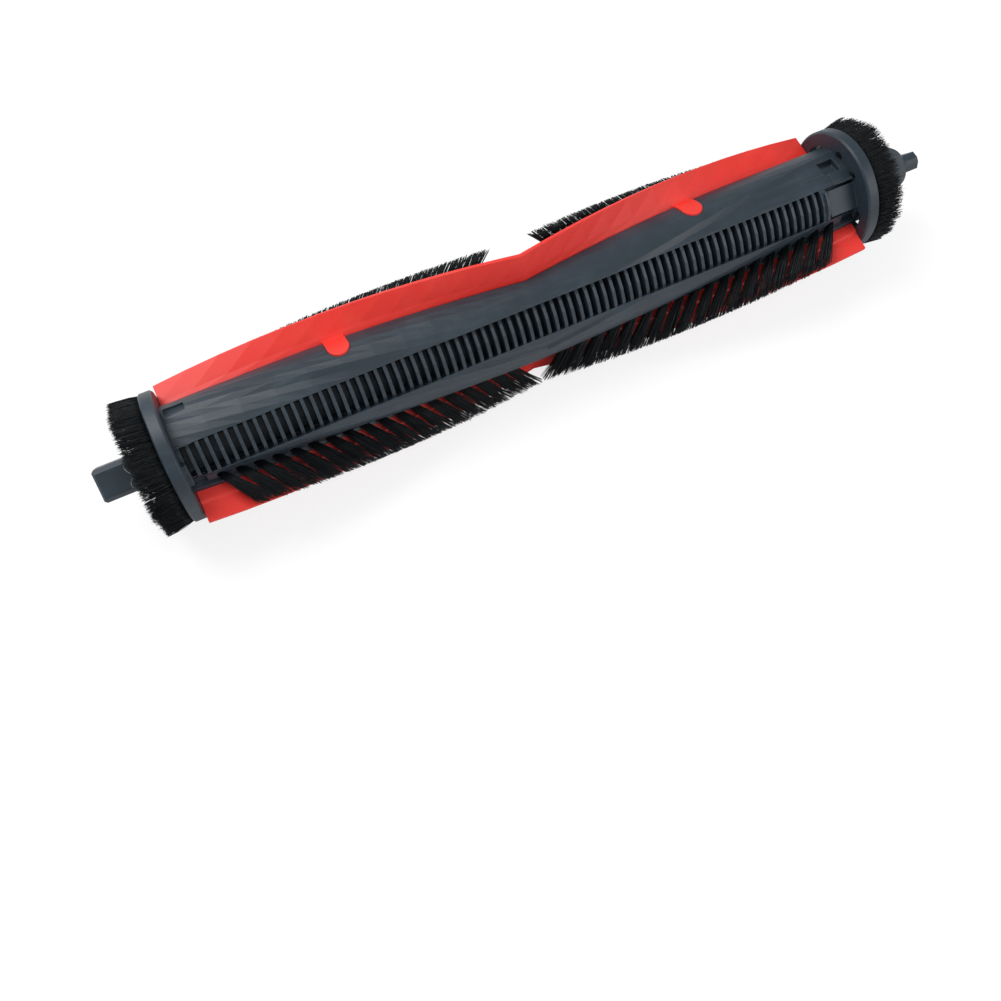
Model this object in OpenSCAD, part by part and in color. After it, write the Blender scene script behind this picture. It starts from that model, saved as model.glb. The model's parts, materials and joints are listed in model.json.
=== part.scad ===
// Main roller brush of a robot vacuum cleaner.
// Two half shells clamp two V shaped rubber blades and two rows of bristle tufts.
// The drive end has a square peg, the idler end turns on a small ball bearing.
//
// Every piece is drawn about its own spin axis, Z, with the drive end at -Z.
// A turn is an angle round that axis: 0 faces the front, and it grows upwards.
// on_axis() then lays the roller along X, at the roll at which it comes to rest.

/* [Roller] */
// Distance between the outer faces of the two end flanges
roller_w = 175; // [160:1:190]
// Diameter of the end flanges
flange_d = 30; // [28:0.5:31]
// Thickness of the end flanges
flange_t = 3; // [2.5:0.1:3.5]
// Radius of the raised lands of the core
core_r = 11; // [10.8:0.1:11.4]
// Radius of the bore along the core
core_bore_r = 3.5; // [3.2:0.1:4]
// Roll at which the roller comes to rest
rest_roll = 62; // [55:1:70]

/* [Blades] */
// Radius of the blade tips
blade_r = 17.2; // [16.8:0.1:17.4]
// Turn of the upper blade at the middle of the roller
blade_turn = 47; // [40:1:50]
// Turn that a blade gains for each millimetre away from the middle
helix_rate = 0.783; // [0.7:0.01:0.8]
// Thickness of the blade root, which the shells clamp
blade_root_t = 2; // [1.8:0.1:2.2]
// Thickness of the blade tip
blade_tip_t = 1.1; // [0.9:0.1:1.3]
// Distance of the locking ears from the middle
ear_z = 44.5; // [40:0.5:50]
// Width of a locking ear
ear_w = 5; // [4:0.5:6]

/* [Bristles] */
// Radius that the tips of the bristle rows reach
tuft_tip_r = 17.9; // [17.5:0.1:18.2]
// Distance between two tufts of a row
tuft_pitch = 4.05; // [3.9:0.05:4.3]
// Distance from the middle to the first tuft of the lower row
lower_gap = 9.5; // [9:0.5:12]
// Distance from the middle to the first tuft of the upper row
upper_gap = 14.5; // [12:0.5:16]
// Distance by which a tuft leans towards the middle
tuft_slant = 7; // [5:0.5:8]
// Number of tufts in each end ring, an even number
ring_tufts = 28; // [24:2:32]
// Length of the end ring bristles
ring_l = 8; // [6:0.5:9]

/* [Fin channel] */
// Distance between two fins
fin_pitch = 2.13; // [2.05:0.01:2.3]
// Turn of the middle of the channel
channel_turn = -14.5; // [-16:0.5:-13]
// Width of the channel
channel_w = 7.6; // [7:0.1:7.8]
// Radius of the outer edge of the fins
fin_r = 10.3; // [10:0.1:10.5]
// Radius of the channel floor
floor_r = 7.2; // [7:0.1:7.6]

/* [End fittings] */
// Side of the square drive peg
peg_w = 7.5; // [7:0.1:8]
// Length of the drive peg beyond its flange
peg_l = 15; // [12:0.5:17]
// Length of the idler fitting beyond its flange
idler_l = 20.3; // [18:0.1:22]
// Length of the tang of the idler fitting
tang_l = 3.8; // [3:0.1:4.5]
// Long side of the tang
tang_w = 8.8; // [8:0.1:9]
// Short side of the tang
tang_t = 4.2; // [3.8:0.1:4.4]
// Radius of the blind hole in the tang
tang_hole_r = 1.35; // [1.2:0.05:1.4]
// Depth of the blind hole in the tang
tang_hole_l = 3.5; // [3:0.5:4]

/* [Hidden] */

slate = [0.22, 0.26, 0.30];
red = [0.92, 0.24, 0.19];
ink = [0.07, 0.10, 0.12];
steel = [0.72, 0.74, 0.76];
eps = 0.01;

// Places along the spin axis
face_z = roller_w / 2;
core_z = face_z - flange_t;
drive_end_z = -face_z - peg_l;
idler_end_z = face_z + idler_l;
middle_z = (drive_end_z + idler_end_z) / 2;

// Core
seam_gap = 0.05;
bore_turns = [-150, -120, -90, -60, -30];
blade_root_r = 7;
blade_slot_o = blade_root_t / 2 + 0.05;
band_r = core_r - 0.6;
lip_r = core_r - 0.05;
stations = 12;

// Blade lip
shoulder_r = 12.4;
lip_foot_r = 10.1;
ear_r = core_r + 0.3;
ear_floor_r = core_r - 1.3;
ear_reach = 7.6;

// Bristle strips
row_turn = 22;
row_tip_turn = 14.7;
slot_r = 8.2;
strip_w = 1.8;
strip_top_r = 9.4;
strip_end_z = 81;
tuft_r = 0.85;
tuft_tip_w = 1.6;
tuft_root_r = 8.85;
tuft_last_z = 78.5;

// End ring bristles
ring_root_r = 13.6;
ring_tip_r = 15.2;
ring_tuft_r = 0.9;
ring_tuft_tip_r = 1.3;
ring_hole_l = 1.2;

// Channel
fin_t = 0.75;
channel_first_z = -core_z;
channel_last_z = 76;

// Bearing, 3 mm bore and 10 mm outside
bearing_w = 4;
bearing_z = face_z - 2.5 - bearing_w;
pin_r = 1.5;
race_in_r = 2.6;
race_out_r = 4.1;
bearing_r = 5;
ball_r = 0.78;
ball_ring_r = (race_in_r + race_out_r) / 2;
ball_n = 7;
groove_r = 0.83;

// Idler end
hub_r = 6.7;
hub_z = core_z - 8;
collar_r = 7.6;
collar_t = 1.5;
collar_l = 6;
bush_r = 5.7;
bush_z = face_z + 1.1;
groove_n = 6;
groove_pitch = 0.8;
hex_z = face_z + 6.2;
hex_r = 5.5;
shoulder_z = idler_end_z - tang_l - 2.4;
tang_turn = -5;
pin_first_z = bearing_z - 1.5;
pin_last_z = hex_z + 4;
clip_t = 0.6;
clip_r = 3.1;
clip_groove_r = 1.2;

// Turn of a blade at the height z
function turn(z) = blade_turn + helix_rate * abs(z);

// Point at the radius r, the turn t and the height z, set off sideways by o
function at(r, t, z, o = 0) =
    [r * cos(t) - o * sin(t), -r * sin(t) - o * cos(t), z];

// Heights at which a swept piece is cut, closer together near the middle
function heights(last) =
    [for (i = [-stations:stations]) sign(i) * last * pow(abs(i) / stations, 1.15)];

// Heights of one half row, from the middle outwards
function side_heights(first, last, side) =
    [for (i = [0:stations]) side * (first + (last - first) * i / stations)];

// Lays the spin axis along X, with turn 0 facing the front
module on_axis() {
    translate([-middle_z, 0, 0]) rotate([270 - rest_roll, 0, 0]) rotate([0, 90, 0]) children();
}

// Turns a piece that is drawn on +X to the turn t
module turned(t) {
    rotate([0, 0, -t]) children();
}

// Solid through a list of sections, each a list of points that run anticlockwise.
// Facing sides of two pieces are split along the same diagonals, so their gap stays even.
module swept(sections) {
    n = len(sections[0]);
    last = len(sections) - 1;
    points = [for (s = sections) each s];
    radii = [for (p = sections[0]) norm([p[0], p[1]])];
    sides = [for (k = [0:last - 1], i = [0:n - 1])
        let (j = (i + 1) % n, a = k * n, b = (k + 1) * n)
        each (radii[i] <= radii[j] ? [[a + i, b + i, b + j], [a + i, b + j, a + j]]
                                   : [[a + i, b + i, a + j], [b + i, b + j, a + j]])];
    polyhedron(points = points,
               faces = concat([[for (i = [0:n - 1]) i]], sides,
                              [[for (i = [n - 1:-1:0]) last * n + i]]));
}

// Points of one half shell, from the upper blade down over the front to the lower one
function shell_section(z) =
    let (t = turn(z), b = t - 180)
    concat(
        [at(core_bore_r, t, z, -seam_gap), at(blade_root_r, t, z, -seam_gap),
         at(blade_root_r, t, z, -blade_slot_o), at(core_r - 0.3, t, z, -blade_slot_o)],
        [for (d = [8, 18, 28, 38, 48, 56]) at(core_r, t - d, z)],
        [for (d = [63.5, 73, 83, 93, 103]) at(band_r, t - d, z)],
        [for (d = [105, 114, 123, 132]) at(lip_r, t - d, z)],
        [at(core_r - 0.35, t - 140, z), at(core_r - 0.9, t - 147, z)],
        [at(slot_r + 1.3, b + row_turn, z, 1.1), at(slot_r, b + row_turn, z, 1),
         at(slot_r, b + row_turn, z, -1), at(slot_r + 1.7, b + row_turn, z, -1.75)],
        [at(lip_foot_r, b, z, blade_slot_o), at(blade_root_r, b, z, blade_slot_o),
         at(blade_root_r, b, z, seam_gap), at(core_bore_r, b, z, seam_gap)],
        [for (d = bore_turns) at(core_bore_r, t + d, z)]);

// Outline of a locking ear, with a round end
module ear_outline(grow) {
    r = ear_w / 2 + grow;
    turned(turn(ear_z) - 20)
        rotate([0, 90, 0]) linear_extrude(core_r + 4) {
            translate([0, ear_reach - 5.5]) circle(r = r, $fn = 32);
            translate([-r, -3.6]) square([2 * r, ear_reach - 1.9]);
        }
}

// One of the slots between two fins, a little wider at its mouth
module fin_slot(z) {
    slot = fin_pitch - fin_t;
    hull() {
        translate([floor_r - 1, -channel_w / 2, z + fin_t + 0.08])
            cube([eps, channel_w, slot - 0.16]);
        translate([core_r + 1, -channel_w / 2, z + fin_t - 0.04])
            cube([eps, channel_w, slot + 0.08]);
    }
}

// Half shell of the core with its fin channel
module half_shell() {
    fins = floor((channel_last_z - channel_first_z) / fin_pitch);
    channel_l = channel_last_z - channel_first_z;
    union() {
        difference() {
            swept([for (z = heights(core_z)) shell_section(z)]);
            turned(channel_turn) {
                difference() {
                    translate([floor_r, -channel_w / 2, channel_first_z - eps])
                        cube([core_r, channel_w, channel_l + eps]);
                    translate([0, 0, -face_z]) cylinder(r = fin_r, h = roller_w, $fn = 24);
                }
                for (i = [0:fins - 1]) fin_slot(channel_first_z + i * fin_pitch);
            }
            tongue_recess();
            end_pockets();
            for (s = [-1, 1]) translate([0, 0, s * ear_z]) ear_notch();
            translate([0, 0, hub_z]) cylinder(r = hub_r + 0.1, h = core_z, $fn = 40);
        }
        turned(channel_turn) intersection() {
            translate([0, 0, channel_first_z]) cylinder(r = floor_r, h = channel_l, $fn = 16);
            translate([core_bore_r + 1, -channel_w / 2, channel_first_z])
                cube([core_r, channel_w, channel_l - 2]);
        }
    }
}

// Recess at the idler end in which the tongue of the cap lies
module tongue_recess() {
    turned(channel_turn) difference() {
        translate([floor_r, -channel_w / 2, channel_last_z + fin_t])
            cube([core_r, channel_w, core_z]);
        translate([0, 0, -face_z]) cylinder(r = 8.9, h = roller_w, $fn = 40);
    }
}

// Clip pockets at both ends of a half shell
module end_pockets() {
    turned(35) translate([8.8, -1.9, core_z - 6]) cube([4, 3.8, 4.4]);
    turned(15) translate([core_r - 0.95, -1.8, core_z - 11]) cube([4, 3.6, 6]);
    turned(58) translate([core_r - 0.8, -1.4, -core_z + 0.6]) cube([4, 2.8, 4.6]);
}

// Notch of a locking ear in the edge of a half shell
module ear_notch() {
    difference() {
        ear_outline(0.05);
        translate([0, 0, -ear_w]) cylinder(r = ear_floor_r - 0.02, h = 2 * ear_w, $fn = 40);
    }
}

module core_shell_front() {
    color(slate) on_axis() half_shell();
}

module core_shell_back() {
    color(slate) on_axis() turned(180) half_shell();
}

// Points of a blade's section: clamped root, shoulder and thin lip
function blade_section(z) =
    let (t = turn(z), root = blade_root_t / 2, tip = blade_tip_t / 2)
    [at(blade_root_r + 0.05, t, z, -root), at(blade_root_r + 0.05, t, z, root),
     at(lip_foot_r, t, z, root), at(shoulder_r, t, z, root), at(shoulder_r + 0.5, t, z, 0.6),
     at(blade_r - 0.15, t, z, tip), at(blade_r, t, z, tip - 0.2),
     at(blade_r, t, z, 0.2 - tip), at(blade_r - 0.15, t, z, -tip),
     at(shoulder_r, t, z, -0.85), at(core_r - 0.3, t, z, -root)];

// V shaped rubber blade with its two locking ears
module blade() {
    union() {
        swept([for (z = heights(core_z - 0.1)) blade_section(z)]);
        for (s = [-1, 1]) translate([0, 0, s * ear_z]) difference() {
            intersection() {
                ear_outline(0);
                translate([0, 0, -ear_w]) cylinder(r = ear_r, h = 2 * ear_w, $fn = 64);
            }
            translate([0, 0, -ear_w - eps]) cylinder(r = ear_floor_r, h = 3 * ear_w, $fn = 64);
        }
    }
}

module rubber_blade_upper() {
    color(red) on_axis() blade();
}

module rubber_blade_lower() {
    color(red) on_axis() turned(180) blade();
}

// Points where a tuft leaves its strip and where it ends
function tuft_root(z, r) = at(r, turn(z) + row_turn, z);
function tuft_tip(z) =
    let (inner = z - sign(z) * tuft_slant)
    at(tuft_tip_r - 0.1, turn(inner) + row_tip_turn, inner);

// Heights of the tufts of one half row
function tuft_heights(gap, side) =
    [for (i = [0:floor((tuft_last_z - gap) / tuft_pitch)]) side * (gap + i * tuft_pitch)];

// Stands its children on the point a, with their +Z towards the point b
module aimed(a, b) {
    d = b - a;
    translate(a) rotate([0, acos(d[2] / norm(d)), atan2(d[1], d[0])]) children();
}

// Backing strip of one half row, with a hole for each tuft
module strip(gap, side) {
    difference() {
        swept([for (z = (side > 0 ? side_heights(gap - 5, strip_end_z, side)
                                  : side_heights(strip_end_z, gap - 5, side)))
            let (t = turn(z) + row_turn, o = strip_w / 2)
            [at(slot_r + 0.12, t, z, -o), at(slot_r + 0.12, t, z, o),
             at(strip_top_r, t, z, o), at(strip_top_r, t, z, -o)]]);
        for (z = tuft_heights(gap, side))
            aimed(tuft_root(z, tuft_root_r), tuft_tip(z)) cylinder(r = tuft_r, h = 4, $fn = 24);
    }
}

// One tuft: a straight root in its hole, spreading to the tip
module tuft(root_r, tip_r, root_l, l) {
    rotate_extrude($fn = 24)
        polygon([[0, 0], [root_r, 0], [root_r, root_l], [tip_r, l], [0, l]]);
}

// Tufts of one half row
module tufts(gap, side) {
    for (z = tuft_heights(gap, side)) {
        a = tuft_root(z, tuft_root_r);
        b = tuft_tip(z);
        aimed(a, b) tuft(tuft_r, tuft_tip_w, 1.6, norm(b - a));
    }
}

module bristle_strip_upper_drive() {
    color(slate) on_axis() strip(upper_gap, -1);
}

module bristle_strip_upper_idler() {
    color(slate) on_axis() strip(upper_gap, 1);
}

module bristle_strip_lower_drive() {
    color(slate) on_axis() turned(180) strip(lower_gap, -1);
}

module bristle_strip_lower_idler() {
    color(slate) on_axis() turned(180) strip(lower_gap, 1);
}

module bristles_upper_drive() {
    color(ink) on_axis() tufts(upper_gap, -1);
}

module bristles_upper_idler() {
    color(ink) on_axis() tufts(upper_gap, 1);
}

module bristles_lower_drive() {
    color(ink) on_axis() turned(180) tufts(lower_gap, -1);
}

module bristles_lower_idler() {
    color(ink) on_axis() turned(180) tufts(lower_gap, 1);
}

// Places of the ring tufts, with two of them level at the bottom
module each_ring_tuft(root_l) {
    for (i = [0:ring_tufts - 1])
        turned(270 - rest_roll + (i + 0.5) * 360 / ring_tufts)
            aimed([ring_root_r, 0, face_z - root_l],
                  [ring_tip_r, 0, face_z + ring_l]) children();
}

// Crown of bristle tufts round an end, drawn at the idler end
module ring_bristles() {
    l = norm([ring_tip_r - ring_root_r, ring_l + ring_hole_l]);
    each_ring_tuft(ring_hole_l) tuft(ring_tuft_r, ring_tuft_tip_r, 1.6, l);
}

// Flange with softened edges, a recessed web and a low rib inside the bristle crown
module flange(inner_r) {
    rotate_extrude($fn = 96)
        polygon([[inner_r, core_z], [flange_d / 2 - 0.4, core_z], [flange_d / 2, core_z + 0.4],
                 [flange_d / 2, face_z - 0.3], [flange_d / 2 - 0.3, face_z],
                 [12.6, face_z], [12.6, face_z + 1], [12, face_z + 1], [12, face_z - 1],
                 [inner_r, face_z - 1]]);
}

// Flange with its tuft holes
module drilled_flange(inner_r) {
    difference() {
        flange(inner_r);
        each_ring_tuft(ring_hole_l) cylinder(r = ring_tuft_r, h = 3, $fn = 24);
    }
}

// Square peg with bevelled edges and a bevelled end
module drive_peg() {
    half = peg_w / 2;
    bevel = 0.9;
    turned(-4) difference() {
        translate([0, 0, drive_end_z]) linear_extrude(peg_l + 1)
            polygon([for (a = [0:90:270], s = [-1, 1])
                let (y = s * (half - bevel))
                [half * cos(a) - y * sin(a), half * sin(a) + y * cos(a)]]);
        for (a = [0:90:270]) rotate([0, 0, a])
            translate([half - 0.5, -peg_w, drive_end_z]) rotate([0, 45, 0])
                translate([0, 0, -2]) cube([2, 2 * peg_w, 4]);
    }
}

module drive_cap() {
    color(slate) on_axis() union() {
        mirror([0, 0, 1]) drilled_flange(0);
        translate([0, 0, -face_z - 0.6]) cylinder(r = 6.4, h = 1.6, $fn = 64);
        drive_peg();
        translate([0, 0, -core_z]) cylinder(r = core_bore_r - 0.2, h = 18, $fn = 48);
        for (s = [0, 180]) turned(-21.5 + s)
            translate([core_r + 0.1, -2.3, -core_z - eps]) cube([2.2, 4.6, 1]);
    }
}

module drive_ring_bristles() {
    color(ink) on_axis() mirror([0, 0, 1]) ring_bristles();
}

// Windows in the web of the idler flange, alike on both halves
module web_windows() {
    for (s = [0, 180]) {
        for (t = [42, 8]) turned(t + s)
            translate([10.7, 0, core_z - 1]) cylinder(r = 1.2, h = 6, $fn = 32);
        for (t = [90, 128]) turned(t + s) intersection() {
            translate([0, 0, core_z - 1]) difference() {
                cylinder(r = 11.8, h = 6, $fn = 64);
                translate([0, 0, -1]) cylinder(r = 9.6, h = 8, $fn = 64);
            }
            translate([0, -2.6, core_z - 1]) cube([14, 5.2, 6]);
        }
    }
}

// Tongue of the idler cap that clips over the end of a half shell
module tongue() {
    turned(channel_turn) intersection() {
        translate([8, -3, channel_last_z + 1.2]) cube([2.1, 6.2, core_z - channel_last_z]);
        difference() {
            cylinder(r = 10.7, h = face_z, $fn = 64);
            translate([0, 0, -1]) cylinder(r = 8.95, h = face_z + 2, $fn = 64);
        }
    }
}

module idler_cap() {
    color(slate) on_axis() union() {
        difference() {
            union() {
                drilled_flange(bearing_r - 1);
                translate([0, 0, hub_z + 0.1]) cylinder(r = hub_r, h = core_z - hub_z, $fn = 64);
                translate([0, 0, core_z]) cylinder(r = hub_r + 1, h = flange_t - 0.5, $fn = 64);
            }
            web_windows();
            translate([0, 0, bearing_z]) cylinder(r = bearing_r, h = bearing_w + eps, $fn = 64);
            translate([0, 0, bearing_z + bearing_w]) cylinder(r = 6.2, h = 6, $fn = 64);
            translate([0, 0, bearing_z - 2]) cylinder(r = 3.6, h = 4, $fn = 48);
            translate([0, 0, hub_z - 1]) cylinder(r = 4.6, h = bearing_z - hub_z, $fn = 48);
        }
        for (s = [0, 180]) turned(s) {
            tongue();
            half_collar();
        }
    }
}

// One of the two collar halves round the idler fitting
module half_collar() {
    difference() {
        translate([0, 0, face_z - 1 - eps])
            cylinder(r = collar_r + collar_t, h = collar_l + 1, $fn = 64);
        translate([0, 0, face_z - 2]) cylinder(r = collar_r, h = collar_l + 4, $fn = 64);
        turned(78) translate([-20, 0, face_z - 2]) cube([40, 20, 12]);
        turned(-78) translate([-20, -20, face_z - 2]) cube([40, 20, 12]);
    }
}

module idler_ring_bristles() {
    color(ink) on_axis() ring_bristles();
}

// Groove that the balls run in
module ball_groove() {
    translate([0, 0, bearing_z + bearing_w / 2]) rotate_extrude($fn = 64)
        translate([ball_ring_r, 0]) circle(r = groove_r, $fn = 32);
}

// Plain ring of the bearing
module race(inner_r, outer_r) {
    difference() {
        translate([0, 0, bearing_z]) cylinder(r = outer_r, h = bearing_w, $fn = 64);
        translate([0, 0, bearing_z - 1]) cylinder(r = inner_r, h = bearing_w + 2, $fn = 64);
        ball_groove();
    }
}

module bearing_outer_race() {
    color(steel) on_axis() race(race_out_r, bearing_r);
}

module bearing_inner_race() {
    color(steel) on_axis() race(pin_r, race_in_r);
}

module bearing_balls() {
    color(steel) on_axis() for (i = [0:ball_n - 1])
        turned(i * 360 / ball_n)
            translate([ball_ring_r, 0, bearing_z + bearing_w / 2]) sphere(r = ball_r, $fn = 32);
}

module axle_pin() {
    color(steel) on_axis() difference() {
        translate([0, 0, pin_first_z]) cylinder(r = pin_r, h = pin_last_z - pin_first_z, $fn = 48);
        translate([0, 0, bearing_z - clip_t]) difference() {
            cylinder(r = pin_r + 1, h = clip_t, $fn = 48);
            translate([0, 0, -1]) cylinder(r = clip_groove_r, h = clip_t + 2, $fn = 48);
        }
    }
}

module retaining_clip() {
    color(steel) on_axis() difference() {
        translate([0, 0, bearing_z - clip_t]) cylinder(r = clip_r, h = clip_t, $fn = 48);
        translate([0, 0, bearing_z - 2]) cylinder(r = clip_groove_r, h = 4, $fn = 48);
        translate([0, -clip_groove_r + 0.1, bearing_z - 2])
            cube([clip_r + 1, 2 * clip_groove_r - 0.2, 4]);
    }
}

// Rear of the idler fitting: a boss and a round part with fine rings
module bush_round() {
    rings = [for (i = [0:groove_n - 1]) let (z = bush_z + 0.3 + i * groove_pitch)
        each [[bush_r, z], [bush_r, z + 0.4], [bush_r - 0.22, z + 0.5], [bush_r - 0.22, z + 0.7]]];
    rotate_extrude($fn = 64)
        polygon(concat([[pin_r, bearing_z + bearing_w], [race_in_r, bearing_z + bearing_w],
                        [race_in_r + 0.4, bearing_z + bearing_w + 0.6],
                        [race_in_r + 0.4, bush_z], [bush_r - 0.3, bush_z]],
                       rings, [[bush_r, hex_z], [pin_r, hex_z]]));
}

// Hexagonal middle of the idler fitting with a tapered shoulder
module bush_hex() {
    intersection() {
        rotate([0, 0, 30]) translate([0, 0, hex_z - eps])
            cylinder(r = hex_r, h = idler_end_z - tang_l - hex_z + eps, $fn = 6);
        rotate_extrude($fn = 64)
            polygon([[0, hex_z - 1], [hex_r + 1, hex_z - 1], [hex_r + 1, shoulder_z],
                     [4.5, idler_end_z - tang_l], [0, idler_end_z - tang_l]]);
    }
}

// Flat tang with bevelled corners
module tang() {
    a = tang_w / 2;
    b = tang_t / 2;
    translate([0, 0, idler_end_z - tang_l - 1]) linear_extrude(tang_l + 1)
        polygon([for (s = [-1, 1]) each
            [[-s * (a - 1), s * b], [-s * a, s * 0.6], [-s * a, -s * 0.6], [-s * (a - 1), -s * b]]]);
}

module idler_bush() {
    color(slate) on_axis() turned(tang_turn) difference() {
        union() {
            bush_round();
            bush_hex();
            tang();
        }
        translate([0, 0, hex_z - 1]) cylinder(r = pin_r, h = pin_last_z - hex_z + 1, $fn = 48);
        translate([0, 0, idler_end_z - tang_hole_l])
            cylinder(r = tang_hole_r, h = tang_hole_l + 1, $fn = 48);
    }
}

core_shell_front();
core_shell_back();
rubber_blade_upper();
rubber_blade_lower();
bristle_strip_upper_drive();
bristle_strip_upper_idler();
bristle_strip_lower_drive();
bristle_strip_lower_idler();
bristles_upper_drive();
bristles_upper_idler();
bristles_lower_drive();
bristles_lower_idler();
drive_cap();
drive_ring_bristles();
idler_cap();
idler_ring_bristles();
bearing_outer_race();
bearing_balls();
bearing_inner_race();
axle_pin();
retaining_clip();
idler_bush();
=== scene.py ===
"""Dresses the main roller brush of a robot vacuum cleaner in its photograph's view.

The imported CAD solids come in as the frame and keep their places. This script adds
the filaments of the bristle rows and of the two end crowns, one stray hair, a
procedural finish for every piece, a pale studio floor, soft light and the camera.
All lengths are in metres, and sizes are written in millimetres times MM.
"""

from __future__ import annotations

import json
import logging
import math
from dataclasses import dataclass, field
from enum import Enum

import bpy
import numpy as np
from mathutils import Matrix, Vector

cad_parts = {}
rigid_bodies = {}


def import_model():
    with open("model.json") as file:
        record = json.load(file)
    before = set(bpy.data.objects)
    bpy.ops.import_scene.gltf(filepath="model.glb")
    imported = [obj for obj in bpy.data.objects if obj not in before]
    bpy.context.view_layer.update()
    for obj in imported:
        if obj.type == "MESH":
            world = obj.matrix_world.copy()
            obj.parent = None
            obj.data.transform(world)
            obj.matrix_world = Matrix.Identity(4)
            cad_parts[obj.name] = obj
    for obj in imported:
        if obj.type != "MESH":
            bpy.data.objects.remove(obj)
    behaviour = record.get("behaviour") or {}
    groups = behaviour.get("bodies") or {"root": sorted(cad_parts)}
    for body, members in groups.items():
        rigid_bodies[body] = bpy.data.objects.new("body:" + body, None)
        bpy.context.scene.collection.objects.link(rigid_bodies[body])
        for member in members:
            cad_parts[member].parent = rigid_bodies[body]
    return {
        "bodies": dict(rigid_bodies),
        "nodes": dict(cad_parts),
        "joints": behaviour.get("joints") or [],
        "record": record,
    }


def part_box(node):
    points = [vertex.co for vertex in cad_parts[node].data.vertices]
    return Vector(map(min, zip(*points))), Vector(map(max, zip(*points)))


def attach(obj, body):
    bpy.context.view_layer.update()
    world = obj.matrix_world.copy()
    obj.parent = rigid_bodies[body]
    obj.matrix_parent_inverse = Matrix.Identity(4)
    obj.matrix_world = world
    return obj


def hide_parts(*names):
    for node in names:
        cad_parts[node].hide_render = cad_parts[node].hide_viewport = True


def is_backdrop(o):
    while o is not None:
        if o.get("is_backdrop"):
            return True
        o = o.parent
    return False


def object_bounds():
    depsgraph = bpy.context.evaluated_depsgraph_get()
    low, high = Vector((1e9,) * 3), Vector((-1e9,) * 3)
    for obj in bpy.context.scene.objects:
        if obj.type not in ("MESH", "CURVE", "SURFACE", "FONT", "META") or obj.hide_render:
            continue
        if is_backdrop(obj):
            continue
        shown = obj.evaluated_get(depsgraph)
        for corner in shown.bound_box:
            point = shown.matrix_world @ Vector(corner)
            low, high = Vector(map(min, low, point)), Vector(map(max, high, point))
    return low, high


LOG = logging.getLogger("roller_brush")
MM = 0.001


class Body(Enum):
    """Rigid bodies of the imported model."""

    ROLLER = "roller"
    IDLER = "idler"


class Slot(Enum):
    """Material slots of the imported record."""

    SLATE = "slate_plastic"
    RUBBER = "red_rubber"
    NYLON = "bristle_nylon"
    STEEL = "bearing_steel"


class End(Enum):
    """The two ends of the roller, each with its sign along the spin axis."""

    DRIVE = -1
    IDLER = 1


class Row(Enum):
    """The two bristle rows, each with its turn away from the upper blade."""

    UPPER = 0.0
    LOWER = 180.0


@dataclass(frozen=True)
class RollerAxis:
    """Places about the spin axis, in the turns that the solids were drawn with.

    A turn is an angle round the axis. Turn 0 faces the front of the photograph,
    and turns grow upwards. Distances along the axis start midway between the flanges.

    Attributes:
        middle: Place of that midpoint on the frame's X axis.
        rest_roll: Elevation of turn 0 when the roller lies at rest, in degrees.
        blade_turn: Turn of the upper blade at the middle, in degrees.
        helix_rate: Turn that a blade gains for each metre outwards, in degrees.
    """

    middle: float
    rest_roll: float = 62.0
    blade_turn: float = 47.0
    helix_rate: float = 783.0

    def blade(self, along: float) -> float:
        """Returns the turn of the upper blade at a distance along the axis."""
        return self.blade_turn + self.helix_rate * abs(along)

    def at(self, radius: float, turn: float, along: float) -> np.ndarray:
        """Finds a point of the frame.

        Args:
            radius: Distance from the spin axis.
            turn: Turn round the axis, in degrees.
            along: Signed distance from the middle.

        Returns:
            The point's three coordinates.
        """
        angle = math.radians(turn + self.rest_roll)
        return np.array(
            [self.middle + along, -radius * math.cos(angle), radius * math.sin(angle)]
        )


def deselect_all() -> None:
    """Leaves edit mode and deselects every object."""
    if bpy.context.object and bpy.context.object.mode != "OBJECT":
        bpy.ops.object.mode_set(mode="OBJECT")
    bpy.ops.object.select_all(action="DESELECT")


def new_mesh_object(name: str, points: np.ndarray, faces: list[tuple[int, ...]]) -> bpy.types.Object:
    """Makes an object at the origin from points and faces.

    Args:
        name: Name of the object and its mesh.
        points: Array of one row for each vertex.
        faces: Vertex indices of each face, anticlockwise from outside.

    Returns:
        The object, linked to the scene.
    """
    mesh = bpy.data.meshes.new(name)
    mesh.from_pydata(points.tolist(), [], faces)
    mesh.polygons.foreach_set("use_smooth", [True] * len(mesh.polygons))
    mesh.update()
    piece = bpy.data.objects.new(name, mesh)
    bpy.context.scene.collection.objects.link(piece)
    return piece


@dataclass(frozen=True)
class FilamentShape:
    """One bristle filament of unit length and radius, modelled once and then copied.

    Attributes:
        sides: Sides of its cross-section.
        cuts: Heights at which it can bend, as shares of its length.
        taper: Thickness of its tip as a share of its root.
    """

    sides: int = 3
    cuts: tuple[float, ...] = (0.4, 0.75)
    taper: float = 0.55

    def build(self) -> tuple[np.ndarray, list[tuple[int, ...]]]:
        """Models the filament and reads its mesh.

        Returns:
            Its vertices, with the length along Z from 0 to 1, and its faces.
        """
        deselect_all()
        bpy.ops.mesh.primitive_cylinder_add(
            vertices=self.sides, radius=1.0, depth=1.0, location=(0.0, 0.0, 0.5)
        )
        rod = bpy.context.object
        bpy.ops.object.transform_apply(location=True, rotation=True, scale=True)
        bpy.ops.object.mode_set(mode="EDIT")
        for cut in self.cuts:
            bpy.ops.mesh.select_all(action="SELECT")
            bpy.ops.mesh.bisect(plane_co=(0.0, 0.0, cut), plane_no=(0.0, 0.0, 1.0))
        bpy.ops.object.mode_set(mode="OBJECT")
        points = np.array([tuple(v.co) for v in rod.data.vertices])
        faces = [tuple(p.vertices) for p in rod.data.polygons]
        width = 1.0 - (1.0 - self.taper) * points[:, 2] ** 2
        points[:, 0] *= width
        points[:, 1] *= width
        bpy.data.objects.remove(rod)
        return points, faces


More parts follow.
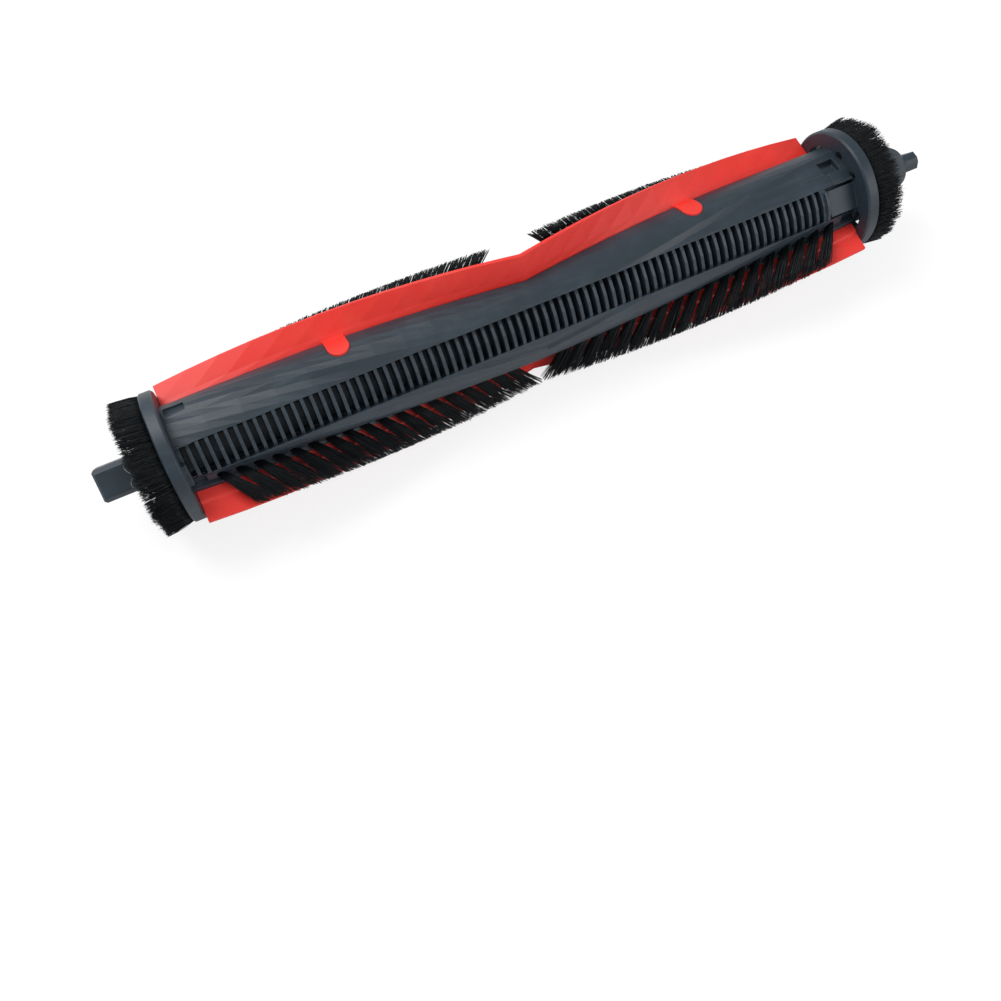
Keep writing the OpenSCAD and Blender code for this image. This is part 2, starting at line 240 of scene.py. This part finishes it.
@dataclass
class Bundle:
    """Filaments gathered for one mesh.

    Attributes:
        shape: Vertices and faces of the filament that is copied.
        floor: Height of the floor, which the filaments bend along.
        roots: Root point of each filament.
        tips: Tip point of each filament.
        bows: Sideways bow of each filament at mid length.
        radii: Radius of each filament.
    """

    shape: tuple[np.ndarray, list[tuple[int, ...]]]
    floor: float
    roots: list[np.ndarray] = field(default_factory=list)
    tips: list[np.ndarray] = field(default_factory=list)
    bows: list[np.ndarray] = field(default_factory=list)
    radii: list[float] = field(default_factory=list)

    def add(self, root: np.ndarray, tip: np.ndarray, bow: np.ndarray, radius: float) -> None:
        """Adds one filament from its root to its tip."""
        self.roots.append(root)
        self.tips.append(tip)
        self.bows.append(bow)
        self.radii.append(radius)

    def build(self, name: str) -> bpy.types.Object:
        """Copies the filament to every place and joins the copies.

        Args:
            name: Name of the new object.

        Returns:
            The object that holds all the filaments.
        """
        points, faces = self.shape
        roots, tips, bows = (np.array(a)[:, None, :] for a in (self.roots, self.tips, self.bows))
        radii = np.array(self.radii)[:, None, None]
        way = tips - roots
        way /= np.linalg.norm(way, axis=2, keepdims=True)
        side = np.cross(way, np.array([0.31, 0.17, 0.93]))
        side /= np.linalg.norm(side, axis=2, keepdims=True)
        other = np.cross(way, side)
        along = points[None, :, 2:3]
        places = roots + (tips - roots) * along + bows * 4.0 * along * (1.0 - along)
        places = places + radii * (side * points[None, :, 0:1] + other * points[None, :, 1:2])
        low = self.floor + 0.05 * MM
        lift = np.clip(low - places[:, :, 2], 0.0, None)
        places[:, :, 2] += lift * 1.02
        count = len(points)
        copies = [
            tuple(index + number * count for index in face)
            for number in range(len(self.roots))
            for face in faces
        ]
        return new_mesh_object(name, places.reshape(-1, 3), copies)


@dataclass
class BristleRows:
    """The two V shaped bristle rows, each of tufts that lean towards the middle.

    Attributes:
        axis: Places about the spin axis.
        root_radius: Distance of the tuft roots from the axis.
        tip_radius: Distance at which the tips are trimmed.
        root_turn: Turn of a root past its blade, in degrees.
        tip_turn: Turn of a tip past its blade, in degrees.
        pitch: Distance between two tufts.
        gaps: Distance of the first tuft from the middle, for each row.
        last: Distance beyond which no tuft stands.
        lean: Distance by which a tuft leans towards the middle.
        root_spread: Radius of a tuft at its root.
        tip_spread: Radius of a tuft at its tip.
        filaments: Filaments in a tuft.
        thickness: Radius of a filament.
    """

    axis: RollerAxis
    root_radius: float = 8.85 * MM
    tip_radius: float = 17.8 * MM
    root_turn: float = 22.0
    tip_turn: float = 14.7
    pitch: float = 4.05 * MM
    gaps: dict[Row, float] = field(default_factory=lambda: {Row.UPPER: 14.5 * MM, Row.LOWER: 9.5 * MM})
    last: float = 78.5 * MM
    lean: float = 7.0 * MM
    root_spread: float = 0.75 * MM
    tip_spread: float = 1.9 * MM
    filaments: int = 120
    thickness: float = 0.09 * MM

    def build(
        self, row: Row, end: End, shape: tuple[np.ndarray, list[tuple[int, ...]]], floor: float
    ) -> bpy.types.Object:
        """Makes one half row.

        Args:
            row: The row, upper or lower.
            end: The half that is nearer to this end.
            shape: The filament that is copied.
            floor: Height of the floor.

        Returns:
            The object with all filaments of the half row.
        """
        chance = np.random.default_rng(11 + int(row.value) + end.value)
        bundle = Bundle(shape, floor)
        count = int((self.last - self.gaps[row]) / self.pitch) + 1
        for index in range(count):
            along = self.gaps[row] + index * self.pitch
            inner = along - self.lean
            root = self.axis.at(
                self.root_radius, self.axis.blade(along) + self.root_turn + row.value, end.value * along
            )
            tip = self.axis.at(
                self.tip_radius, self.axis.blade(inner) + self.tip_turn + row.value, end.value * inner
            )
            self._tuft(bundle, root, tip, chance)
        return bundle.build(f"row_filaments_{row.name.lower()}_{end.name.lower()}")

    def _tuft(
        self, bundle: Bundle, root: np.ndarray, tip: np.ndarray, chance: np.random.Generator
    ) -> None:
        """Adds the filaments of one tuft, spread from its root to its trimmed tip."""
        way = (tip - root) / np.linalg.norm(tip - root)
        side = np.cross(way, [1.0, 0.0, 0.0])
        side /= np.linalg.norm(side)
        other = np.cross(way, side)
        for _ in range(self.filaments):
            reach = math.sqrt(chance.random())
            angle = chance.random() * math.tau
            out = reach * (math.cos(angle) * side + math.sin(angle) * other)
            start = root + out * self.root_spread
            stop = tip + out * self.tip_spread + chance.normal(0.0, 0.11 * MM, 3)
            stop = self._trimmed(start, stop, self.tip_radius + chance.normal(0.0, 0.09 * MM))
            bow = chance.normal(0.0, 0.12 * MM, 3)
            bundle.add(start, stop, bow, self.thickness)

    @staticmethod
    def _trimmed(start: np.ndarray, stop: np.ndarray, radius: float) -> np.ndarray:
        """Moves a filament's tip along the filament to a distance from the axis.

        Args:
            start: Root of the filament.
            stop: Tip before it is trimmed.
            radius: Distance from the axis at which the tip should end.

        Returns:
            The trimmed tip.
        """
        first = math.hypot(start[1], start[2])
        last = math.hypot(stop[1], stop[2])
        return start + (stop - start) * (radius - first) / (last - first)


@dataclass
class EndCrowns:
    """The dense crown of bristles that stands out of each end flange.

    Attributes:
        axis: Places about the spin axis.
        face: Distance of a flange's outer face from the middle.
        sunk: Depth of the roots below that face.
        root_radius: Middle radius of the root ring.
        root_width: Width of the root ring.
        flare: Growth of the radius from root to tip.
        length: Length of the bristles beyond the face.
        clumps: Number of clumps that lean their own way.
        filaments: Filaments in a crown.
        thickness: Radius of a filament.
    """

    axis: RollerAxis
    face: float = 87.5 * MM
    sunk: float = 0.5 * MM
    root_radius: float = 13.55 * MM
    root_width: float = 1.9 * MM
    flare: float = 0.6 * MM
    length: float = 6.3 * MM
    clumps: int = 40
    filaments: int = 5200
    thickness: float = 0.065 * MM

    def build(
        self, end: End, shape: tuple[np.ndarray, list[tuple[int, ...]]], floor: float
    ) -> bpy.types.Object:
        """Makes the crown of one end.

        Args:
            end: The end that it stands on.
            shape: The filament that is copied.
            floor: Height of the floor.

        Returns:
            The object with all filaments of the crown.
        """
        chance = np.random.default_rng(31 + end.value)
        bundle = Bundle(shape, floor)
        leans = chance.normal(0.0, 1.0, (self.clumps, 3))
        for _ in range(self.filaments):
            turn = chance.random() * 360.0
            share = chance.random()
            clump = turn / 360.0 * self.clumps
            first, blend = int(clump) % self.clumps, clump - int(clump)
            lean = leans[first] * (1.0 - blend) + leans[(first + 1) % self.clumps] * blend
            radius = self.root_radius + (share - 0.5) * self.root_width
            tip_radius = radius + self.flare + (share - 0.5) * 0.6 * MM + lean[0] * 0.3 * MM
            tip_turn = turn + lean[1] * 1.6 + chance.normal(0.0, 1.2)
            reach = self.face + self.length + lean[2] * 0.25 * MM + chance.normal(0.0, 0.3 * MM)
            root = self.axis.at(radius, turn, end.value * (self.face - self.sunk))
            tip = self.axis.at(tip_radius, tip_turn, end.value * reach)
            bundle.add(root, tip, chance.normal(0.0, 0.16 * MM, 3), self.thickness)
        return bundle.build(f"crown_filaments_{end.name.lower()}")


@dataclass
class StrayHair:
    """The pale hair that lies in a small S on the front face of the drive peg.

    Attributes:
        axis: Places about the spin axis.
        face_radius: Distance of the peg's front face from the axis.
        face_turn: Turn of that face, in degrees.
        thickness: Radius of the hair.
        path: Points of the hair on the face, each as (along, up).
    """

    axis: RollerAxis
    face_radius: float = 3.75 * MM
    face_turn: float = -4.0
    thickness: float = 0.06 * MM
    path: tuple[tuple[float, float], ...] = (
        (-95.2, 2.9),
        (-95.9, 2.3),
        (-96.1, 1.5),
        (-95.4, 0.6),
        (-94.9, -0.3),
        (-95.6, -1.1),
        (-96.2, -1.8),
        (-95.9, -2.8),
    )

    def build(self) -> bpy.types.Object:
        """Lays a thin smooth tube along the path.

        Returns:
            The hair as a mesh object.
        """
        out = Vector(self.axis.at(1.0, self.face_turn, 0.0)) - Vector(self.axis.at(0.0, 0.0, 0.0))
        up = Vector(self.axis.at(1.0, self.face_turn + 90.0, 0.0)) - Vector(self.axis.at(0.0, 0.0, 0.0))
        curve = bpy.data.curves.new("stray_hair", "CURVE")
        curve.dimensions = "3D"
        curve.bevel_depth = self.thickness
        curve.bevel_resolution = 1
        curve.resolution_u = 6
        curve.use_fill_caps = True
        spline = curve.splines.new("NURBS")
        spline.points.add(len(self.path) - 1)
        for point, (along, height) in zip(spline.points, self.path):
            place = (
                Vector((self.axis.middle + along * MM, 0.0, 0.0))
                + out * (self.face_radius + 0.8 * self.thickness)
                + up * (height * MM)
            )
            point.co = (*place, 1.0)
        spline.use_endpoint_u = True
        spline.order_u = 4
        hair = bpy.data.objects.new("stray_hair", curve)
        bpy.context.scene.collection.objects.link(hair)
        deselect_all()
        hair.select_set(True)
        bpy.context.view_layer.objects.active = hair
        bpy.ops.object.convert(target="MESH")
        return bpy.context.object


def linear(red: int, green: int, blue: int) -> tuple[float, float, float, float]:
    """Turns a display colour of 0 to 255 into the linear colour that shaders use."""
    channels = []
    for value in (red, green, blue):
        share = value / 255.0
        channels.append(share / 12.92 if share <= 0.04045 else ((share + 0.055) / 1.055) ** 2.4)
    return (channels[0], channels[1], channels[2], 1.0)


class NodeBoard:
    """A node tree with short calls to add and join its nodes."""

    def __init__(self, tree: bpy.types.NodeTree) -> None:
        """Takes the tree to work on."""
        self.tree = tree

    def add(self, kind: str, inputs: dict[str, object] | None = None, **settings: object) -> bpy.types.Node:
        """Adds a node.

        Args:
            kind: Blender's name of the node type.
            inputs: Values of its sockets, or the output sockets that feed them.
            **settings: Properties of the node.

        Returns:
            The new node.
        """
        node = self.tree.nodes.new(kind)
        for key, value in settings.items():
            setattr(node, key, value)
        for key, value in (inputs or {}).items():
            socket = node.inputs[int(key)] if key.isdigit() else node.inputs[key]
            if isinstance(value, bpy.types.NodeSocket):
                self.tree.links.new(value, socket)
            else:
                socket.default_value = value
        return node

    def math(
        self, operation: str, first: object, second: object, clamp: bool = False
    ) -> bpy.types.NodeSocket:
        """Adds a Math node of two operands and returns its output."""
        node = self.add("ShaderNodeMath", {"0": first, "1": second}, operation=operation, use_clamp=clamp)
        return node.outputs[0]

    def mix(self, share: object, first: object, second: object, blend: str = "MIX") -> bpy.types.NodeSocket:
        """Mixes two colours by a share and returns the result."""
        node = self.add("ShaderNodeMix", data_type="RGBA", blend_type=blend)
        for index, value in ((0, share), (6, first), (7, second)):
            if isinstance(value, bpy.types.NodeSocket):
                self.tree.links.new(value, node.inputs[index])
            else:
                node.inputs[index].default_value = value
        return node.outputs[2]

    def window(
        self, value: object, low: float, high: float, start: float = 0.0, stop: float = 1.0
    ) -> bpy.types.NodeSocket:
        """Maps the range from low to high onto start to stop, smoothly, and returns the result."""
        node = self.add(
            "ShaderNodeMapRange",
            {"Value": value, "From Min": low, "From Max": high, "To Min": start, "To Max": stop},
            interpolation_type="SMOOTHSTEP",
        )
        return node.outputs["Result"]


class SharedEffects:
    """Node groups that several finishes use."""

    def __init__(self) -> None:
        """Builds the groups."""
        self.cloud = self._cloud()
        self.edges = self._edges()

    @staticmethod
    def _group(
        name: str, inputs: dict[str, float], outputs: dict[str, str]
    ) -> tuple[bpy.types.NodeTree, NodeBoard, bpy.types.Node, bpy.types.Node]:
        """Starts a group.

        Args:
            name: Name of the group.
            inputs: Its number inputs with their usual values.
            outputs: Its outputs with their socket types.

        Returns:
            The group, its board, its input node and its output node.
        """
        group = bpy.data.node_groups.new(name, "ShaderNodeTree")
        for key, value in inputs.items():
            socket = group.interface.new_socket(key, in_out="INPUT", socket_type="NodeSocketFloat")
            socket.default_value = value
        for key, kind in outputs.items():
            group.interface.new_socket(key, in_out="OUTPUT", socket_type=kind)
        board = NodeBoard(group)
        return group, board, board.add("NodeGroupInput"), board.add("NodeGroupOutput")

    def _cloud(self) -> bpy.types.NodeTree:
        """Makes soft blotches drawn out along the roller, and a fine grain.

        Returns:
            The group, which puts out the masks Blotch, Streak and Grain.
        """
        group, board, entry, leave = self._group(
            "Blotch and grain",
            {"Blotch Scale": 90.0, "Grain Scale": 3500.0},
            {key: "NodeSocketFloat" for key in ("Blotch", "Streak", "Grain")},
        )
        place = board.add("ShaderNodeTexCoord").outputs["Object"]
        blotch = board.add(
            "ShaderNodeTexNoise",
            {"Vector": place, "Scale": entry.outputs["Blotch Scale"], "Detail": 5.0, "Roughness": 0.6},
        )
        drawn = board.add("ShaderNodeMapping", {"Vector": place, "Scale": (0.12, 1.0, 1.0)})
        streak = board.add(
            "ShaderNodeTexNoise",
            {"Vector": drawn.outputs[0], "Scale": 700.0, "Detail": 4.0, "Roughness": 0.55},
        )
        grain = board.add(
            "ShaderNodeTexNoise",
            {"Vector": place, "Scale": entry.outputs["Grain Scale"], "Detail": 3.0, "Roughness": 0.6},
        )
        for key, node in (("Blotch", blotch), ("Streak", streak), ("Grain", grain)):
            board.tree.links.new(node.outputs["Fac"], leave.inputs[key])
        return group

    def _edges(self) -> bpy.types.NodeTree:
        """Finds edges, which mouldings round off and which get a painted highlight along with some wear.

        Returns:
            The group, which puts out the edge mask for the painted highlight and wear, and the rounded
            Normal.
        """
        group, board, entry, leave = self._group(
            "Rounded edges", {"Radius": 0.2 * MM}, {"Edge": "NodeSocketFloat", "Normal": "NodeSocketVector"}
        )
        round_off = board.add("ShaderNodeBevel", {"Radius": entry.outputs["Radius"]}, samples=6)
        flat = board.add("ShaderNodeNewGeometry").outputs["Normal"]
        agree = board.add(
            "ShaderNodeVectorMath", {"0": round_off.outputs[0], "1": flat}, operation="DOT_PRODUCT"
        )
        # Edge mask for a painted highlight along with wear on the edges.
        edge = board.window(agree.outputs["Value"], 0.995, 0.8)
        board.tree.links.new(edge, leave.inputs["Edge"])
        board.tree.links.new(round_off.outputs[0], leave.inputs["Normal"])
        return group


@dataclass(frozen=True)
class MouldedFinish:
    """A moulded plastic or rubber with blotches, streaks, grain and edges paled by a painted highlight and
    wear.

    Attributes:
        name: Name of the material.
        base: Its colour.
        pale: Colour of its scuffs and dusty blotches.
        edge: Colour of its edges.
        blotch_share: Strength of the blotches.
        streak_share: Strength of the streaks.
        edge_highlight_and_wear_share: Strength of the pale edges.
        roughness: Roughness where it is clean.
        grain_height: Height of the grain.
        edge_radius: Radius at which edges are rounded.
        specular: Strength of its plain reflection.
    """

    name: str
    base: tuple[float, float, float, float]
    pale: tuple[float, float, float, float]
    edge: tuple[float, float, float, float]
    blotch_share: float = 0.3
    streak_share: float = 0.25
    edge_highlight_and_wear_share: float = 0.5
    roughness: float = 0.45
    grain_height: float = 0.02 * MM
    edge_radius: float = 0.2 * MM
    specular: float = 0.5

    def build(self, effects: SharedEffects) -> bpy.types.Material:
        """Makes the material.

        Args:
            effects: The shared node groups.

        Returns:
            The material.
        """
        material = bpy.data.materials.new(self.name)
        material.use_nodes = True
        board = NodeBoard(material.node_tree)
        shader = material.node_tree.nodes["Principled BSDF"]
        cloud = board.add("ShaderNodeGroup", node_tree=effects.cloud)
        edges = board.add("ShaderNodeGroup", node_tree=effects.edges)
        edges.inputs["Radius"].default_value = self.edge_radius
        blotch = board.math("MULTIPLY", board.window(cloud.outputs["Blotch"], 0.45, 0.75), self.blotch_share)
        streak = board.math("MULTIPLY", board.window(cloud.outputs["Streak"], 0.5, 0.8), self.streak_share)
        colour = board.mix(board.math("ADD", blotch, streak, clamp=True), self.base, self.pale)
        # Painted highlight and wear: edges are mixed towards the paler edge colour.
        colour = board.mix(board.math("MULTIPLY", edges.outputs["Edge"], self.edge_highlight_and_wear_share), colour, self.edge)
        uneven = board.math("MULTIPLY", cloud.outputs["Blotch"], 0.16)
        rough = board.math("ADD", uneven, self.roughness - 0.08)
        bump = board.add(
            "ShaderNodeBump",
            {
                "Strength": 1.0,
                "Distance": self.grain_height,
                "Height": cloud.outputs["Grain"],
                "Normal": edges.outputs["Normal"],
            },
        )
        links = material.node_tree.links
        links.new(colour, shader.inputs["Base Color"])
        links.new(rough, shader.inputs["Roughness"])
        links.new(bump.outputs[0], shader.inputs["Normal"])
        shader.inputs["Specular IOR Level"].default_value = self.specular
        return material


@dataclass(frozen=True)
class FilamentFinish:
    """Dark nylon filaments that vary a little from one to the next.

    Attributes:
        name: Name of the material.
        dark: Colour of the darkest filaments.
        light: Colour of the lightest filaments.
        roughness: Roughness of a filament.
    """

    name: str
    dark: tuple[float, float, float, float]
    light: tuple[float, float, float, float]
    roughness: float = 0.5

    def build(self, effects: SharedEffects) -> bpy.types.Material:
        """Makes the material.

        Args:
            effects: The shared node groups.

        Returns:
            The material.
        """
        material = bpy.data.materials.new(self.name)
        material.use_nodes = True
        board = NodeBoard(material.node_tree)
        shader = material.node_tree.nodes["Principled BSDF"]
        cloud = board.add("ShaderNodeGroup", node_tree=effects.cloud)
        cloud.inputs["Grain Scale"].default_value = 2500.0
        colour = board.mix(board.window(cloud.outputs["Grain"], 0.4, 0.72), self.dark, self.light)
        material.node_tree.links.new(colour, shader.inputs["Base Color"])
        shader.inputs["Roughness"].default_value = self.roughness
        shader.inputs["Specular IOR Level"].default_value = 0.35
        return material


@dataclass(frozen=True)
class SteelFinish:
    """Ground bearing steel.

    Attributes:
        name: Name of the material.
        base: Its colour.
        roughness: Its roughness.
    """

    name: str
    base: tuple[float, float, float, float]
    roughness: float = 0.28

    def build(self, effects: SharedEffects) -> bpy.types.Material:
        """Makes the material.

        Args:
            effects: The shared node groups.

        Returns:
            The material.
        """
        material = bpy.data.materials.new(self.name)
        material.use_nodes = True
        board = NodeBoard(material.node_tree)
        shader = material.node_tree.nodes["Principled BSDF"]
        cloud = board.add("ShaderNodeGroup", node_tree=effects.cloud)
        rough = board.math("ADD", board.math("MULTIPLY", cloud.outputs["Streak"], 0.2), self.roughness - 0.1)
        material.node_tree.links.new(rough, shader.inputs["Roughness"])
        shader.inputs["Base Color"].default_value = self.base
        shader.inputs["Metallic"].default_value = 1.0
        return material


SLATE = MouldedFinish(
    name="Slate plastic",
    base=linear(36, 48, 58),
    pale=linear(66, 79, 90),
    # The edge colour is a painted highlight along with wear.
    edge=linear(92, 106, 114),
)
RED = MouldedFinish(
    name="Red rubber",
    base=linear(236, 48, 38),
    pale=linear(244, 78, 62),
    # The edge colour is a painted highlight along with wear.
    edge=linear(250, 84, 70),
    blotch_share=0.35,
    streak_share=0.15,
    edge_highlight_and_wear_share=0.35,
    roughness=0.5,
    grain_height=0.01 * MM,
)
NYLON = FilamentFinish(name="Dark nylon filament", dark=linear(6, 11, 15), light=linear(24, 34, 39))
HAIR = FilamentFinish(name="Pale hair", dark=linear(150, 156, 150), light=linear(205, 208, 200))
STEEL = SteelFinish(name="Bearing steel", base=linear(196, 200, 204))


@dataclass
class Studio:
    """A pale floor under soft light.

    Attributes:
        floor: Height of the floor.
        world_strength: Light of the surroundings.
    """

    floor: float
    world_strength: float = 0.42

    def build(self) -> None:
        """Makes the floor, the surroundings and the lamps."""
        self._lay_floor()
        self._light_world()
        self._hang_lamp("key_light", (-0.35, 0.45, 0.75), 0.55, 6.6)
        self._hang_lamp("fill_light", (0.5, -0.6, 0.6), 0.6, 3.0)

    def _lay_floor(self) -> None:
        """Lays the floor, nearly white to the camera and with the roller's shadow."""
        deselect_all()
        bpy.ops.mesh.primitive_plane_add(size=6.0, location=(0.0, 0.0, self.floor))
        floor = bpy.context.object
        floor.name = "studio_floor"
        bpy.ops.object.transform_apply(location=True, rotation=True, scale=True)
        material = bpy.data.materials.new("Pale floor")
        material.use_nodes = True
        board = NodeBoard(material.node_tree)
        nodes = material.node_tree.nodes
        nodes.remove(nodes["Principled BSDF"])
        matt = board.add("ShaderNodeBsdfDiffuse", {"Color": (0.9, 0.9, 0.9, 1.0)})
        glow = board.add("ShaderNodeEmission", {"Color": (1.0, 1.0, 1.0, 1.0), "Strength": 1.1})
        seen = board.add("ShaderNodeLightPath").outputs["Is Camera Ray"]
        share = board.math("MULTIPLY", seen, 0.72)
        blend = board.add(
            "ShaderNodeMixShader", {"0": share, "1": matt.outputs[0], "2": glow.outputs[0]}
        )
        material.node_tree.links.new(blend.outputs[0], nodes["Material Output"].inputs["Surface"])
        floor.data.materials.append(material)
        floor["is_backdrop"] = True

    def _light_world(self) -> None:
        """Sets the surroundings: white to camera and transmission rays, softer to all other rays."""
        world = bpy.data.worlds.new("Studio")
        bpy.context.scene.world = world
        world.use_nodes = True
        board = NodeBoard(world.node_tree)
        sky = world.node_tree.nodes["Background"]
        path = board.add("ShaderNodeLightPath")
        seen = board.math("MAXIMUM", path.outputs["Is Camera Ray"], path.outputs["Is Transmission Ray"])
        strength = board.add(
            "ShaderNodeMapRange", {"Value": seen, "To Min": self.world_strength, "To Max": 1.0}
        ).outputs["Result"]
        world.node_tree.links.new(strength, sky.inputs["Strength"])
        sky.inputs["Color"].default_value = (0.97, 0.985, 1.0, 1.0)

    @staticmethod
    def _hang_lamp(name: str, place: tuple[float, float, float], size: float, power: float) -> None:
        """Hangs a square soft lamp that looks at the roller.

        Args:
            name: Name of the lamp.
            place: Where it hangs.
            size: Its side.
            power: Its power in watts.
        """
        light = bpy.data.lights.new(name, "AREA")
        light.size = size
        light.energy = power
        lamp = bpy.data.objects.new(name, light)
        lamp.location = place
        lamp.rotation_euler = (-Vector(place)).to_track_quat("-Z", "Y").to_euler()
        bpy.context.scene.collection.objects.link(lamp)
        lamp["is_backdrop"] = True


@dataclass(frozen=True)
class PhotoCamera:
    """The photograph's view, solved from the roller's own sizes.

    Attributes:
        middle: Place of the flanges' midpoint on the frame's X axis.
        azimuth: Direction of the camera round the vertical, in degrees.
        elevation: Height of the camera above the horizon, in degrees.
        distance: Distance from the point aimed at.
        aim: The point aimed at, from the flanges' midpoint.
        rolled: How far the resting roller has rolled since the photograph, in degrees.
        lens: Focal length in millimetres on a sensor of 36 mm.
    """

    middle: float
    azimuth: float = -25.97
    elevation: float = 64.26
    distance: float = 318.4 * MM
    aim: tuple[float, float, float] = (-6.91 * MM, 0.0, -93.95 * MM)
    rolled: float = -4.81
    lens: float = 36.16

    def build(self) -> bpy.types.Object:
        """Makes the camera and sets it as the scene's.

        Returns:
            The camera.
        """
        azimuth, elevation = math.radians(self.azimuth), math.radians(self.elevation)
        back = Vector(
            (
                math.sin(azimuth) * math.cos(elevation),
                -math.cos(azimuth) * math.cos(elevation),
                math.sin(elevation),
            )
        )
        right = Vector((math.cos(azimuth), math.sin(azimuth), 0.0))
        pose = Matrix((right, back.cross(right), back)).transposed().to_4x4()
        pose.translation = Vector(self.aim) + back * self.distance
        data = bpy.data.cameras.new("photo_camera")
        data.sensor_width = 36.0
        data.lens = self.lens
        data.clip_start = 0.01
        camera = bpy.data.objects.new("photo_camera", data)
        camera.matrix_world = (
            Matrix.Translation((self.middle, 0.0, 0.0))
            @ Matrix.Rotation(math.radians(self.rolled), 4, "X")
            @ pose
        )
        bpy.context.scene.collection.objects.link(camera)
        bpy.context.scene.camera = camera
        return camera


@dataclass
class RollerBrush:
    """The whole roller: its CAD nodes and the pieces that dress them.

    Attributes:
        floor: Height of the floor.
    """

    frame: dict
    floor: float

    def __post_init__(self) -> None:
        """Works out the axis from the shells."""
        low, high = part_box("core_shell_front")
        self.axis = RollerAxis(middle=(low.x + high.x) / 2.0)
        self.effects = SharedEffects()
        self.finishes = {
            Slot.SLATE: SLATE.build(self.effects),
            Slot.RUBBER: RED.build(self.effects),
            Slot.NYLON: NYLON.build(self.effects),
            Slot.STEEL: STEEL.build(self.effects),
        }

    def dress_solids(self) -> None:
        """Gives every CAD node the finish of its slot."""
        for part in self.frame["record"]["subparts"]:
            node = self.frame["nodes"][part["node"]]
            finish = self.finishes[Slot(part["material_slot"])]
            for holder in node.material_slots:
                holder.material = finish
            LOG.info("%s: %s", part["node"], finish.name)

    def add_bristles(self) -> None:
        """Replaces the plain tufts with filaments."""
        shape = FilamentShape().build()
        rows = BristleRows(self.axis)
        for row in Row:
            for end in End:
                piece = rows.build(row, end, shape, self.floor)
                self._settle(piece, Slot.NYLON, f"bristles_{row.name.lower()}_{end.name.lower()}")
        crowns = EndCrowns(self.axis)
        for end in End:
            piece = crowns.build(end, shape, self.floor)
            self._settle(piece, Slot.NYLON, f"{end.name.lower()}_ring_bristles")

    def add_hair(self) -> None:
        """Lays the stray hair on the drive peg."""
        hair = StrayHair(self.axis).build()
        hair.data.materials.clear()
        hair.data.materials.append(HAIR.build(self.effects))
        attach(hair, Body.ROLLER.value)
        LOG.info("%s laid", hair.name)

    def _settle(self, piece: bpy.types.Object, slot: Slot, node: str) -> None:
        """Finishes a piece, lets it ride on the roller and stand for its node."""
        piece.data.materials.append(self.finishes[slot])
        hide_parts(node)
        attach(piece, Body.ROLLER.value)
        LOG.info("%s: %d faces", piece.name, len(piece.data.polygons))


def plain(box: tuple[Vector, Vector]) -> list[list[float]]:
    """Turns a box into plain lists of numbers."""
    return [[float(value) for value in corner] for corner in box]


def main() -> None:
    """Builds the camera, the roller and the studio, with the floor at the bottom of the solids' box."""
    logging.basicConfig(level=logging.INFO, format="%(name)s: %(message)s")
    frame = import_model()
    cad_box = plain(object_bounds())
    floor = cad_box[0][2]
    bpy.context.scene.view_settings.view_transform = "Standard"
    brush = RollerBrush(frame, floor)
    PhotoCamera(brush.axis.middle).build()
    brush.dress_solids()
    brush.add_bristles()
    brush.add_hair()
    Studio(floor).build()


if __name__ == "__main__":
    main()
